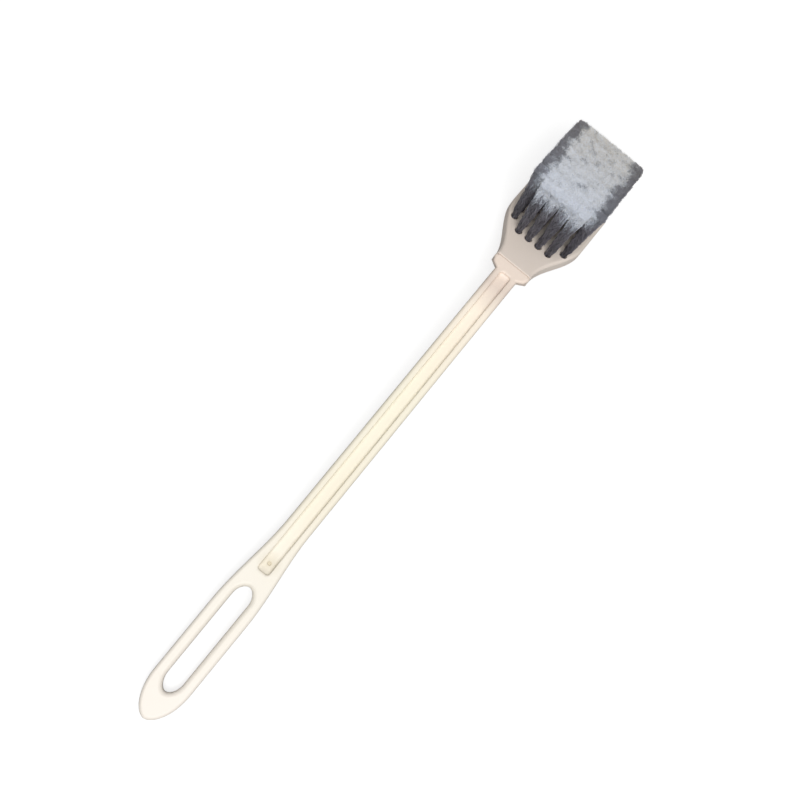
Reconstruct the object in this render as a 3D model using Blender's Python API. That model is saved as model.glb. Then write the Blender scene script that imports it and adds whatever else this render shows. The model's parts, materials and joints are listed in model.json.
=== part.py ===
"""A toilet brush lying on its back, bristles up.

Two plastic mouldings and a field of bristle tufts: a long handle with a slotted loop to hang it by,
a grooved stem and a bent neck, and a spade-shaped head that plugs on to the handle's tang and leans
back from it. Every tuft sits in its own hole of the head.

The brush is modelled in the handle's own frame: the loop's tip at the origin, +Y along the stem
to the head, +Z out of the front. At the end it is set down on the ground, with the middle of its
footprint at the origin. Metres throughout.
"""

import math

import bmesh
import bpy
from mathutils import Matrix, Vector

MM = 0.001

# Driving dimensions of the handle
THICKNESS = 9.0 * MM
EDGE_RADIUS = 2.0 * MM
LOOP_WIDTH = 24.3 * MM
LOOP_LENGTH = 71.5 * MM
LOOP_TIP_LENGTH = 24.2 * MM
LOOP_TIP_POINT = 1.12
LOOP_TAPER_LENGTH = 59.0 * MM
SLOT_WIDTH = 10.8 * MM
SLOT_LENGTH = 70.6 * MM
SLOT_TIP_WALL = 18.0 * MM
SLOT_TIP_LENGTH = 9.0 * MM
SLOT_CROWN_LENGTH = 8.0 * MM
SLOT_POINT = 1.4
SLOT_EDGE_RADIUS = 2.6 * MM
STEM_LENGTH = 170.3 * MM
STEM_LOOP_WIDTH = 15.2 * MM
STEM_NECK_WIDTH = 14.5 * MM
GROOVE_DEPTH = 2.4 * MM
GROOVE_RIM = 3.8 * MM
GROOVE_SLOT_WALL = 10.6 * MM
GROOVE_FLOOR_RADIUS = 1.6 * MM
GROOVE_CORNER_RADIUS = GROOVE_FLOOR_RADIUS + 0.5 * MM
GROOVE_END_SLOPE = 2.2
NECK_RADIUS = 40.0 * MM
NECK_TURN = math.radians(13.0)
COLLAR_LENGTH = 7.4 * MM
COLLAR_SIDE_LENGTH = 5.0 * MM
COLLAR_WIDTH = 21.2 * MM
SHOULDER_LENGTH = 2.0 * MM
SHOULDER_LEAN = 0.85
JOINT_WIDTH = 24.0 * MM

# Driving dimensions of the joint between handle and head
HEAD_TURN = math.radians(14.0)
JOINT_GAP = 0.3 * MM
JOINT_CHAMFER = 0.4 * MM
TANG_LENGTH = 15.0 * MM
TANG_ROOT = 5.0 * MM
TANG_WIDTH = 12.0 * MM
TANG_THICKNESS = 4.2 * MM
TANG_CORNER_RADIUS = 1.5 * MM
TANG_CLEARANCE = 0.3 * MM
SOCKET_WALL = 3.7 * MM

# Driving dimensions of the head and its tufts
TUFT_ROWS = 8
TUFT_COLUMNS = 6
TUFT_PITCH = 7.05 * MM
TUFT_DIAMETER = 4.2 * MM
TUFT_CLEARANCE = 0.35 * MM
HOLE_DEPTH = 6.5 * MM
BRISTLE_LENGTH = 44.5 * MM
STRAND_TIP_WIDTH = 1.5 * MM
STRANDS_ACROSS = 3
SPREAD_ACROSS = 1.12
SPREAD_ALONG = 1.05
SIDE_MARGIN = 4.55 * MM
END_MARGIN = 3.4 * MM
LEAST_MARGIN = 1.5 * MM
FLARE_LENGTH = 40.8 * MM
HEAD_CORNER_RADIUS = 7.0 * MM

# Fineness of the curved parts
ARC_STEPS = 8
TAPER_STEPS = 12
NECK_SLICES = 6
EDGE_SEGMENTS = 3

# What follows from the driving dimensions
HALF_THICKNESS = THICKNESS / 2
SLOT_END = SLOT_TIP_WALL + SLOT_LENGTH
STEM_START = LOOP_LENGTH + LOOP_TAPER_LENGTH
NECK_START = STEM_START + STEM_LENGTH
NECK_LENGTH = NECK_RADIUS * NECK_TURN
JOINT_AT = NECK_START + NECK_LENGTH + COLLAR_LENGTH
SHOULDER_START = JOINT_AT - COLLAR_SIDE_LENGTH - SHOULDER_LENGTH
MITRE = HEAD_TURN / 2
HEAD_ANGLE = NECK_TURN + HEAD_TURN
BEYOND_JOINT = 2 * HALF_THICKNESS * math.tan(MITRE) + 2 * JOINT_GAP
HOLE_RADIUS = TUFT_DIAMETER / 2 + TUFT_CLEARANCE
SOCKET_DEPTH = TANG_LENGTH + TANG_CLEARANCE
FIRST_ROW = SOCKET_DEPTH + SOCKET_WALL + HOLE_RADIUS
HEAD_WIDTH = (TUFT_COLUMNS - 1) * TUFT_PITCH + 2 * (HOLE_RADIUS + SIDE_MARGIN)
HEAD_LENGTH = FIRST_ROW + (TUFT_ROWS - 1) * TUFT_PITCH + HOLE_RADIUS + END_MARGIN

CREAM = (0.93, 0.88, 0.79, 1.0)
SHADED_CREAM = (0.82, 0.77, 0.71, 1.0)
BLACK = (0.035, 0.034, 0.036, 1.0)


def empty_scene():
    for thing in list(bpy.data.objects):
        bpy.data.objects.remove(thing, do_unlink=True)


def new_collection(name):
    group = bpy.data.collections.new(name)
    bpy.context.scene.collection.children.link(group)
    return group


def plastic(name, colour, roughness):
    material = bpy.data.materials.new(name)
    material.use_nodes = True
    shader = material.node_tree.nodes["Principled BSDF"]
    shader.inputs["Base Color"].default_value = colour
    shader.inputs["Roughness"].default_value = roughness
    shader.inputs["Metallic"].default_value = 0.0
    material.diffuse_color = colour
    return material


def new_object(name, bm, group):
    """An object in this collection that holds the bmesh, which is freed."""
    bmesh.ops.recalc_face_normals(bm, faces=bm.faces[:])
    mesh = bpy.data.meshes.new(name)
    bm.to_mesh(mesh)
    bm.free()
    thing = bpy.data.objects.new(name, mesh)
    group.objects.link(thing)
    return thing


def smooth_step(share):
    share = min(max(share, 0.0), 1.0)
    return share * share * (3 - 2 * share)


def rounded(corners, radius):
    """The outline with each of its corners turned into an arc that touches both sides."""
    outline = []
    for i, corner in enumerate(corners):
        before = (corners[i - 1] - corner).normalized()
        after = (corners[(i + 1) % len(corners)] - corner).normalized()
        half = before.angle(after) / 2
        centre = corner + (before + after).normalized() * radius / math.sin(half)
        start = corner + before * radius / math.tan(half) - centre
        end = corner + after * radius / math.tan(half) - centre
        turn = start.angle(end)
        for k in range(EDGE_SEGMENTS + 1):
            share = k / EDGE_SEGMENTS
            arc = start * math.sin((1 - share) * turn) + end * math.sin(share * turn)
            outline.append(centre + arc / math.sin(turn))
    return outline


def both_sides(right):
    """The right half of an outline, listed from the bottom up, and its mirror image back down."""
    left = [Vector((-p.x, p.y)) for p in reversed(right) if p.x > 0]
    return right + left


def slab(name, outline, group):
    """A flat plate of the handle's thickness with this outline and rounded edges all the way round."""
    bm = bmesh.new()
    face = bm.faces.new([bm.verts.new((p.x, p.y, -HALF_THICKNESS)) for p in outline])
    raised = bmesh.ops.extrude_face_region(bm, geom=[face])["geom"]
    top = [part for part in raised if isinstance(part, bmesh.types.BMVert)]
    bmesh.ops.translate(bm, verts=top, vec=(0, 0, THICKNESS))
    rims = [e for e in bm.edges if abs(e.verts[0].co.z - e.verts[1].co.z) < THICKNESS / 2]
    bmesh.ops.bevel(
        bm, geom=rims, offset=EDGE_RADIUS, segments=EDGE_SEGMENTS, profile=0.5, affect="EDGES"
    )
    return new_object(name, bm, group)


def loft(name, rings, group):
    """A closed solid through rings that have the same number of points."""
    bm = bmesh.new()
    layers = [[bm.verts.new(point) for point in ring] for ring in rings]
    for low, high in zip(layers, layers[1:]):
        for i in range(len(low)):
            j = (i + 1) % len(low)
            bm.faces.new((low[i], low[j], high[j], high[i]))
    bm.faces.new(layers[0])
    bm.faces.new(layers[-1])
    return new_object(name, bm, group)


def level(outline, height):
    return [Vector((p.x, p.y, height)) for p in outline]


def combine(thing, tool, operation):
    """Joins the tool to the object or cuts it out, for good, and removes the tool."""
    modifier = thing.modifiers.new(operation.lower(), "BOOLEAN")
    modifier.operation = operation
    modifier.solver = "EXACT"
    modifier.object = tool
    bpy.context.view_layer.update()
    result = thing.evaluated_get(bpy.context.evaluated_depsgraph_get())
    mesh = bpy.data.meshes.new_from_object(result)
    thing.modifiers.clear()
    thing.data = mesh
    bpy.data.objects.remove(tool, do_unlink=True)


def slot_arch(radius, length, centre_y, upward):
    """One end of the slot, an ellipse drawn in towards its point, right to left up or left to right down."""
    way = 1 if upward else -1
    arch = []
    for k in range(2 * ARC_STEPS + 1):
        angle = math.pi * k / (2 * ARC_STEPS)
        across = math.copysign(abs(math.cos(angle)) ** SLOT_POINT, math.cos(angle))
        arch.append(Vector((way * radius * across, centre_y + way * length * math.sin(angle))))
    return arch


# The handle


def stem_half_width(along):
    share = (along - STEM_START) / (SHOULDER_START - STEM_START)
    share = min(max(share, 0.0), 1.0)
    return (STEM_LOOP_WIDTH + (STEM_NECK_WIDTH - STEM_LOOP_WIDTH) * share) / 2


def handle_outline():
    """The handle seen from the front: pointed loop, taper, stem, slanted shoulders and collar."""
    right = []
    for k in range(2 * ARC_STEPS + 1):
        angle = math.pi / 2 * k / (2 * ARC_STEPS)
        x = LOOP_WIDTH / 2 * math.sin(angle) ** LOOP_TIP_POINT
        right.append(Vector((x, LOOP_TIP_LENGTH * (1 - math.cos(angle)))))
    for k in range(TAPER_STEPS + 1):
        share = k / TAPER_STEPS
        narrowing = (LOOP_WIDTH - STEM_LOOP_WIDTH) / 2 * smooth_step(share)
        right.append(Vector((LOOP_WIDTH / 2 - narrowing, LOOP_LENGTH + LOOP_TAPER_LENGTH * share)))
    right.append(Vector((stem_half_width(SHOULDER_START), SHOULDER_START)))
    right.append(Vector((COLLAR_WIDTH / 2, SHOULDER_START + SHOULDER_LENGTH)))
    right.append(Vector((JOINT_WIDTH / 2, JOINT_AT - BEYOND_JOINT)))
    right.append(Vector((JOINT_WIDTH / 2, JOINT_AT + BEYOND_JOINT)))
    return both_sides(right)


def lean_shoulders(bm):
    """Leans the shoulders' walls in under the collar, from its front edge towards the joint's back edge.

    SHOULDER_LEAN is the share of the collar's side that the lean takes up at the back.
    """
    top = JOINT_AT - BEYOND_JOINT
    side = COLLAR_SIDE_LENGTH - BEYOND_JOINT
    for vertex in bm.verts:
        if vertex.co.y > SHOULDER_START - EDGE_RADIUS:
            share = min(max((top - vertex.co.y) / side, 0.0), 1.0)
            depth = (HALF_THICKNESS - vertex.co.z) / THICKNESS
            vertex.co.y += share * depth * SHOULDER_LEAN * side


def slot_outline(grow):
    """The hanging slot, which narrows to a soft point at both ends, grown all round."""
    radius = SLOT_WIDTH / 2 + grow
    crown = slot_arch(radius, SLOT_CROWN_LENGTH + grow, SLOT_END - SLOT_CROWN_LENGTH, True)
    tip = slot_arch(radius, SLOT_TIP_LENGTH + grow, SLOT_TIP_WALL + SLOT_TIP_LENGTH, False)
    return crown + tip


def slot_cutter(group):
    """It flares at both faces, so that what it leaves has rounded edges."""
    flare = [(0.0, HALF_THICKNESS - SLOT_EDGE_RADIUS)]
    for k in range(1, EDGE_SEGMENTS):
        angle = math.pi / 2 * k / EDGE_SEGMENTS
        grow = SLOT_EDGE_RADIUS * (1 - math.cos(angle))
        flare.append((grow, HALF_THICKNESS - SLOT_EDGE_RADIUS * (1 - math.sin(angle))))
    past = 0.1 * SLOT_EDGE_RADIUS
    flare.append((SLOT_EDGE_RADIUS + past, HALF_THICKNESS + 0.3 * past))
    flare.append((SLOT_EDGE_RADIUS + past, 2 * THICKNESS))
    rings = [level(slot_outline(grow), -height) for grow, height in reversed(flare)]
    rings += [level(slot_outline(grow), height) for grow, height in flare]
    return loft("slot", rings, group)


def groove_outline(shrink):
    """The groove between the stem's two rims, whose ends slope more than its sides."""
    low = SLOT_END + GROOVE_SLOT_WALL + GROOVE_END_SLOPE * shrink
    high = SHOULDER_START - GROOVE_END_SLOPE * shrink
    half_low = stem_half_width(low) - GROOVE_RIM - shrink
    half_high = stem_half_width(high) - GROOVE_RIM - shrink
    corners = [(half_low, low), (half_high, high), (-half_high, high), (-half_low, low)]
    return rounded([Vector(corner) for corner in corners], GROOVE_CORNER_RADIUS - shrink)


def groove_cutter(group, face):
    """face is 1 for the front of the handle and -1 for its back."""
    floor = HALF_THICKNESS - GROOVE_DEPTH
    rings = []
    for k in range(EDGE_SEGMENTS + 1):
        angle = math.pi / 2 * k / EDGE_SEGMENTS
        shrink = GROOVE_FLOOR_RADIUS * (1 - math.sin(angle))
        height = floor + GROOVE_FLOOR_RADIUS * (1 - math.cos(angle))
        rings.append(level(groove_outline(shrink), face * height))
    rings.append(level(groove_outline(0.0), face * THICKNESS))
    return loft("groove", rings, group)


def on_neck(along):
    """Where the handle's centre line is, and the angle it has turned down by, past the straight stem."""
    turned = min(max((along - NECK_START) / NECK_RADIUS, 0.0), NECK_TURN)
    y = NECK_START + NECK_RADIUS * math.sin(turned)
    z = -NECK_RADIUS * (1 - math.cos(turned))
    past = max(along - NECK_START - NECK_LENGTH, 0.0)
    return Vector((0.0, y + past * math.cos(turned), z - past * math.sin(turned))), turned


def bend_neck(bm):
    """Slices the straight handle across the neck and lays the slices along the neck's arc."""
    for k in range(NECK_SLICES + 1):
        cut = Vector((0.0, NECK_START + NECK_LENGTH * k / NECK_SLICES, 0.0))
        everything = bm.verts[:] + bm.edges[:] + bm.faces[:]
        bmesh.ops.bisect_plane(bm, geom=everything, plane_co=cut, plane_no=(0, 1, 0))
    for vertex in bm.verts:
        if vertex.co.y > NECK_START:
            place, turned = on_neck(vertex.co.y)
            out = Vector((0.0, math.sin(turned), math.cos(turned)))
            vertex.co = Vector((vertex.co.x, 0.0, 0.0)) + place + out * vertex.co.z


def trim_at_joint(bm, keep):
    """Cuts the end off square to the mitre, with half the joint's gap, and breaks the new edge.

    keep is -1 for the handle's side of the joint and 1 for the head's.
    """
    place, turned = on_neck(JOINT_AT)
    along = Vector((0.0, math.cos(turned + MITRE), -math.sin(turned + MITRE)))
    place = place + along * keep * JOINT_GAP / 2
    everything = bm.verts[:] + bm.edges[:] + bm.faces[:]
    bmesh.ops.bisect_plane(
        bm, geom=everything, plane_co=place, plane_no=along, clear_outer=keep < 0, clear_inner=keep > 0
    )
    rim = [e for e in bm.edges if e.is_boundary]
    end = bmesh.ops.holes_fill(bm, edges=rim, sides=0)["faces"]
    bmesh.ops.recalc_face_normals(bm, faces=bm.faces[:])
    rim = list({e for face in end for e in face.edges})
    bmesh.ops.bevel(bm, geom=rim, offset=JOINT_CHAMFER, segments=1, profile=0.5, affect="EDGES")


def head_frame():
    """Places what is modelled flat, with the joint at its origin and +Y to the head's far end."""
    place, _ = on_neck(JOINT_AT)
    return Matrix.Translation(place) @ Matrix.Rotation(-HEAD_ANGLE, 4, "X")


def tang_shape(name, grow, start, end, group):
    """The flat tongue that holds the head, or with a clearance the socket for it."""
    half = TANG_WIDTH / 2 + grow
    corners = [Vector((-half, start)), Vector((half, start)), Vector((half, end)), Vector((-half, end))]
    outline = rounded(corners, TANG_CORNER_RADIUS)
    height = TANG_THICKNESS / 2 + grow
    tang = loft(name, [level(outline, -height), level(outline, height)], group)
    tang.data.transform(head_frame())
    return tang


def make_handle(group, cutters, material):
    handle = slab("handle", handle_outline(), group)
    bm = bmesh.new()
    bm.from_mesh(handle.data)
    lean_shoulders(bm)
    bm.to_mesh(handle.data)
    bm.free()
    combine(handle, slot_cutter(cutters), "DIFFERENCE")
    for face in (1, -1):
        combine(handle, groove_cutter(cutters, face), "DIFFERENCE")
    bm = bmesh.new()
    bm.from_mesh(handle.data)
    bend_neck(bm)
    trim_at_joint(bm, -1)
    bm.to_mesh(handle.data)
    bm.free()
    combine(handle, tang_shape("tang", 0.0, -TANG_ROOT, TANG_LENGTH, cutters), "UNION")
    handle.data.materials.clear()
    handle.data.materials.append(material)
    return handle


# The head


def head_half_width(along):
    """The spade shape: it widens from the neck in an S and then runs straight to the far end."""
    share = (along - BEYOND_JOINT) / (FLARE_LENGTH - BEYOND_JOINT)
    return (JOINT_WIDTH + (HEAD_WIDTH - JOINT_WIDTH) * smooth_step(share)) / 2


def head_outline():
    right = [Vector((JOINT_WIDTH / 2, -BEYOND_JOINT))]
    for k in range(TAPER_STEPS + 1):
        along = BEYOND_JOINT + (FLARE_LENGTH - BEYOND_JOINT) * k / TAPER_STEPS
        right.append(Vector((head_half_width(along), along)))
    centre = Vector((HEAD_WIDTH / 2 - HEAD_CORNER_RADIUS, HEAD_LENGTH - HEAD_CORNER_RADIUS))
    for k in range(ARC_STEPS + 1):
        angle = math.pi / 2 * k / ARC_STEPS
        right.append(centre + Vector((math.cos(angle), math.sin(angle))) * HEAD_CORNER_RADIUS)
    return both_sides(right)


def tuft_places():
    """Row and column of each tuft and where it stands on the head. The narrow first row has fewer."""
    places = []
    for row in range(TUFT_ROWS):
        along = FIRST_ROW + row * TUFT_PITCH
        room = head_half_width(along) - HOLE_RADIUS - LEAST_MARGIN
        for column in range(TUFT_COLUMNS):
            across = (column - (TUFT_COLUMNS - 1) / 2) * TUFT_PITCH
            if abs(across) <= room:
                places.append((row + 1, column + 1, Vector((across, along))))
    return places


def hole_cutters(group):
    """One round blind hole for each tuft, all in one cutter."""
    bm = bmesh.new()
    past = EDGE_RADIUS
    for _, _, place in tuft_places():
        middle = HALF_THICKNESS - HOLE_DEPTH / 2 + past / 2
        where = Matrix.Translation((place.x, place.y, middle))
        bmesh.ops.create_cone(
            bm,
            cap_ends=True,
            segments=4 * STRANDS_ACROSS,
            radius1=HOLE_RADIUS,
            radius2=HOLE_RADIUS,
            depth=HOLE_DEPTH + past,
            matrix=where,
        )
    holes = new_object("tuft_holes", bm, group)
    holes.data.transform(head_frame())
    return holes


def make_head(group, cutters, material):
    head = slab("head", head_outline(), group)
    head.data.transform(head_frame())
    bm = bmesh.new()
    bm.from_mesh(head.data)
    trim_at_joint(bm, 1)
    bm.to_mesh(head.data)
    bm.free()
    head.data.materials.append(material)
    socket = tang_shape("tang_socket", TANG_CLEARANCE, -TANG_ROOT, SOCKET_DEPTH, cutters)
    for cutter in (socket, hole_cutters(cutters)):
        cutter.hide_render = True
        cutter.display_type = "WIRE"
        modifier = head.modifiers.new(cutter.name, "BOOLEAN")
        modifier.operation = "DIFFERENCE"
        modifier.solver = "EXACT"
        modifier.object = cutter
    return head


# The tufts


def on_disc(spot, radius):
    """A point of the square from -1 to 1 carried to the round tuft, so that a grid fills the circle."""
    ring = max(abs(spot.x), abs(spot.y))
    return spot.normalized() * ring * radius


def tuft_mesh(place):
    """A round root that fills the hole, and on it a grid of strands that spread towards their tips."""
    bm = bmesh.new()
    bmesh.ops.create_grid(bm, x_segments=STRANDS_ACROSS, y_segments=STRANDS_ACROSS, size=1.0)
    mouth = bm.verts[:]
    strands = bmesh.ops.extrude_discrete_faces(bm, faces=bm.faces[:])["faces"]
    middle = FIRST_ROW + (TUFT_ROWS - 1) / 2 * TUFT_PITCH
    tip = Vector((place.x * SPREAD_ACROSS, middle + (place.y - middle) * SPREAD_ALONG))
    for strand in strands:
        centre = strand.calc_center_median().xy
        end = tip + centre * Vector((SPREAD_ACROSS, SPREAD_ALONG)) * TUFT_PITCH / 2
        for vertex in strand.verts:
            side = (vertex.co.xy - centre).normalized() * STRAND_TIP_WIDTH / math.sqrt(2)
            vertex.co = (end + side).to_3d() + Vector((0, 0, HALF_THICKNESS + BRISTLE_LENGTH))
    for vertex in mouth:
        spot = on_disc(vertex.co.xy, TUFT_DIAMETER / 2) + place
        vertex.co = Vector((spot.x, spot.y, HALF_THICKNESS))
    rim = [e for e in bm.edges if e.is_boundary]
    root = bmesh.ops.extrude_edge_only(bm, edges=rim)["geom"]
    lowest = [part for part in root if isinstance(part, bmesh.types.BMVert)]
    bmesh.ops.translate(bm, verts=lowest, vec=(0, 0, TUFT_CLEARANCE - HOLE_DEPTH))
    bmesh.ops.holes_fill(bm, edges=[e for e in bm.edges if e.is_boundary], sides=0)
    return bm


def make_tufts(group, material):
    for row, column, place in tuft_places():
        tuft = new_object(f"tuft_r{row}_c{column}", tuft_mesh(place), group)
        tuft.data.transform(head_frame())
        tuft.data.materials.append(material)


# Setting the brush down


def lower_edge(points):
    """The two points, left and right of the middle, that the profile rests on when it is set down."""
    hull = []
    for point in sorted(points):
        while len(hull) > 1:
            (ay, az), (by, bz) = hull[-2], hull[-1]
            if (by - ay) * (point[1] - az) - (bz - az) * (point[0] - ay) > 0:
                break
            hull.pop()
        hull.append(point)
    middle = (hull[0][0] + hull[-1][0]) / 2
    return next(pair for pair in zip(hull, hull[1:]) if pair[1][0] > middle)


def set_down(group):
    """Hangs every part on an empty that stands the brush on its loop and the far edge of its head."""
    base = bpy.data.objects.new("resting_place", None)
    group.objects.link(base)
    parts = [thing for thing in group.objects if thing.type == "MESH"]
    cutters = [m.object for thing in parts for m in thing.modifiers]
    corners = [v.co for thing in parts for v in thing.data.vertices]
    low, high = lower_edge([(round(c.y, 9), round(c.z, 9)) for c in corners])
    tip = math.atan2(high[1] - low[1], high[0] - low[0])
    turn = Matrix.Rotation(-tip, 4, "X")
    turned = [turn @ c for c in corners]
    middle = (min(c.y for c in turned) + max(c.y for c in turned)) / 2
    base.rotation_euler = (-tip, 0.0, 0.0)
    base.location = (0.0, -middle, -min(c.z for c in turned))
    for thing in parts + cutters:
        thing.parent = base


def shade(group):
    """Smooth over the rounded edges, sharp where faces meet at a real angle."""
    for thing in group.objects:
        if thing.type == "MESH":
            thing.data.shade_smooth()
            thing.data.set_sharp_from_angle(angle=math.radians(35))


def main():
    empty_scene()
    brush = new_collection("toilet_brush")
    cutters = new_collection("cutters")
    make_handle(brush, cutters, plastic("handle_plastic", CREAM, 0.38))
    make_head(brush, cutters, plastic("head_plastic", SHADED_CREAM, 0.42))
    make_tufts(brush, plastic("bristle_nylon", BLACK, 0.55))
    shade(brush)
    set_down(brush)


main()
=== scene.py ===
import json
import math

import bmesh
import bpy
from mathutils import Matrix, Vector


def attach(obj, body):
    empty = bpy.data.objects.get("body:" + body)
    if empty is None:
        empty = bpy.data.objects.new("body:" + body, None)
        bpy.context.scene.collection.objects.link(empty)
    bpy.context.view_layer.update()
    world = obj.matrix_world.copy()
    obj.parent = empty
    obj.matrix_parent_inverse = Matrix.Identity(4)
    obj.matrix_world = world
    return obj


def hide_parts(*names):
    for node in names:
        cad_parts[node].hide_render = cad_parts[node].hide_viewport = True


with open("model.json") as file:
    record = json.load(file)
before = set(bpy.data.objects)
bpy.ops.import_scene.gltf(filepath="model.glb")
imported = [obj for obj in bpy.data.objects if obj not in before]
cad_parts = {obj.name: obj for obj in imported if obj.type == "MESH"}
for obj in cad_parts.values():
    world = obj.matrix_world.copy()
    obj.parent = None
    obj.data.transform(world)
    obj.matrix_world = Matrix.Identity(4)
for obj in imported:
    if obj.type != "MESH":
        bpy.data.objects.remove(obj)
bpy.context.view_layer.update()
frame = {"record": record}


# Where the handle lies. The brush rests on its back, on the loop's end and the far edge of the head,
# so the handle slopes up to the neck. Its own frame has the loop's tip at the origin, +Y along the
# stem and +Z out of the front, and the flat land above the slot says where that frame is.
MM = 0.001
HALF_THICKNESS = 4.5 * MM
LAND_AT = 95.2 * MM

land = next(mount for mount in frame["record"]["mounts"] if mount["name"] == "grip_front")
slope = math.atan2(-land["axis"][1], land["axis"][2])
to_handle = (
    Matrix.Translation(land["pos_m"])
    @ Matrix.Rotation(slope, 4, "X")
    @ Matrix.Translation((0, -LAND_AT, -HALF_THICKNESS))
)


# The handle: one injection moulding in cream polypropylene, 9 mm thick. A pointed loop with a long
# slot hangs it up, a stem grooved on both faces runs to the neck, which leans back, and a collar with
# slanted shoulders meets the head. Every edge is rounded, as the mould's cutters leave it.
EDGE_RADIUS = 2.0 * MM
LOOP_WIDTH = 24.3 * MM
LOOP_LENGTH = 71.5 * MM
LOOP_TIP_LENGTH = 24.2 * MM
LOOP_TIP_POINT = 1.12
LOOP_TAPER_LENGTH = 59.0 * MM
SLOT_WIDTH = 10.8 * MM
SLOT_LENGTH = 70.6 * MM
SLOT_TIP_WALL = 18.0 * MM
SLOT_TIP_LENGTH = 9.0 * MM
SLOT_CROWN_LENGTH = 8.0 * MM
SLOT_POINT = 1.12
SLOT_EDGE_RADIUS = 2.6 * MM
STEM_LENGTH = 170.3 * MM
STEM_LOOP_WIDTH = 15.2 * MM
STEM_NECK_WIDTH = 14.5 * MM
GROOVE_DEPTH = 2.4 * MM
GROOVE_RIM = 3.8 * MM
GROOVE_SLOT_WALL = 10.6 * MM
GROOVE_FLOOR_RADIUS = 1.5 * MM
GROOVE_RIM_RADIUS = 0.6 * MM
GROOVE_CORNER_RADIUS = GROOVE_FLOOR_RADIUS + 0.4 * MM
GROOVE_END_SLOPE = 2.2
GATE_MARK_AT = 105.2 * MM
GATE_MARK_RADIUS = 1.1 * MM
GATE_MARK_DEPTH = 0.6 * MM
# Each ring of the gate mark: the share that it is smaller by, and its height in mark depths
GATE_MARK_RINGS = ((0.35, -1.0), (0.0, 0.0), (-0.3, 1.0))
NECK_RADIUS = 40.0 * MM
NECK_TURN = math.radians(13.0)
COLLAR_LENGTH = 7.4 * MM
COLLAR_SIDE_LENGTH = 5.0 * MM
COLLAR_WIDTH = 21.2 * MM
SHOULDER_LENGTH = 2.0 * MM
SHOULDER_LEAN = 0.85
JOINT_WIDTH = 24.0 * MM
JOINT_GAP = 0.3 * MM
JOINT_CHAMFER = 0.6 * MM
HEAD_TURN = math.radians(14.0)
TANG_LENGTH = 15.0 * MM
TANG_ROOT = 5.0 * MM
TANG_WIDTH = 12.0 * MM
TANG_THICKNESS = 4.2 * MM
TANG_CORNER_RADIUS = 1.5 * MM
ARC_STEPS = 24
EDGE_STEPS = 8
CHAMFER_STEPS = 3
# A cutter's flare stops this share of a step short of level, so that it still crosses the face
FLARE_LAG = 0.1
OVERCUT = 0.1 * MM
OVERCUT_FLARE = 1.1
SHARP_ANGLE = math.radians(32.0)
HANDLE_ROUGHNESS = 0.42
POLYPROPYLENE_IOR = 1.49
RIPPLE_WIDTH = 1.1111 * MM
RIPPLE_HEIGHT = 0.2 * MM
RIPPLE_STRENGTH = 0.12
FLOW_WIDTH = 35.714 * MM
FLOW_SHADE = "FBF9F6"
GATE_BLUSH_WIDTH = 8.0 * MM
GATE_SHADES = ((0.0, "E4DFD2"), (0.13, "E4DFD2"), (0.2, "EFECE4"), (1.0, "FFFFFF"))
# Hues along the brush, each at its place in millimetres from the middle. The darker, pinker hues at
# the neck and collar are partly painted shade, where the collar and the head shade the handle.
HANDLE_HUES_AND_NECK_SHADE = (
    (-202.0, "F4EDE4"),
    (-110.0, "F4EFE4"),
    (-60.0, "F3ECDA"),
    (20.0, "F6F0DD"),
    (80.0, "FAEFDF"),
    # Painted shade: the neck darkens under the collar, and the collar stays darker than the stem
    (97.0, "E2D3C7"),
    (107.0, "F4E4D7"),
    (116.0, "F4E4D7"),
)

slot_end = SLOT_TIP_WALL + SLOT_LENGTH
stem_start = LOOP_LENGTH + LOOP_TAPER_LENGTH
neck_start = stem_start + STEM_LENGTH
neck_length = NECK_RADIUS * NECK_TURN
joint_at = neck_start + neck_length + COLLAR_LENGTH
shoulder_start = joint_at - COLLAR_SIDE_LENGTH - SHOULDER_LENGTH
mitre = HEAD_TURN / 2
past_joint = 2 * HALF_THICKNESS * math.tan(mitre) + 2 * JOINT_GAP


def new_object(name, bm):
    """An object in the scene that holds the bmesh, which is freed."""
    bmesh.ops.recalc_face_normals(bm, faces=bm.faces[:])
    mesh = bpy.data.meshes.new(name)
    bm.to_mesh(mesh)
    bm.free()
    thing = bpy.data.objects.new(name, mesh)
    bpy.context.scene.collection.objects.link(thing)
    return thing


def smooth_step(share):
    share = min(max(share, 0.0), 1.0)
    return share * share * (3 - 2 * share)


def both_sides(right):
    """The right half of an outline, listed from the bottom up, and its mirror image back down."""
    return right + [Vector((-p.x, p.y)) for p in reversed(right) if p.x > 0]


def rounded(corners, radius):
    """The outline with each of its corners turned into an arc that touches both sides."""
    outline = []
    for i, corner in enumerate(corners):
        before = (corners[i - 1] - corner).normalized()
        after = (corners[(i + 1) % len(corners)] - corner).normalized()
        half = before.angle(after) / 2
        centre = corner + (before + after).normalized() * radius / math.sin(half)
        start = corner + before * radius / math.tan(half) - centre
        end = corner + after * radius / math.tan(half) - centre
        turn = start.angle(end)
        for k in range(EDGE_STEPS + 1):
            share = k / EDGE_STEPS
            arc = start * math.sin((1 - share) * turn) + end * math.sin(share * turn)
            outline.append(centre + arc / math.sin(turn))
    return outline


def level(outline, height):
    return [Vector((p.x, p.y, height)) for p in outline]


def loft(name, rings):
    """A closed solid through rings that have the same number of points."""
    bm = bmesh.new()
    layers = [[bm.verts.new(point) for point in ring] for ring in rings]
    for low, high in zip(layers, layers[1:]):
        for i in range(len(low)):
            j = (i + 1) % len(low)
            bm.faces.new((low[i], low[j], high[j], high[i]))
    bm.faces.new(layers[0])
    bm.faces.new(layers[-1])
    return new_object(name, bm)


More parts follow.
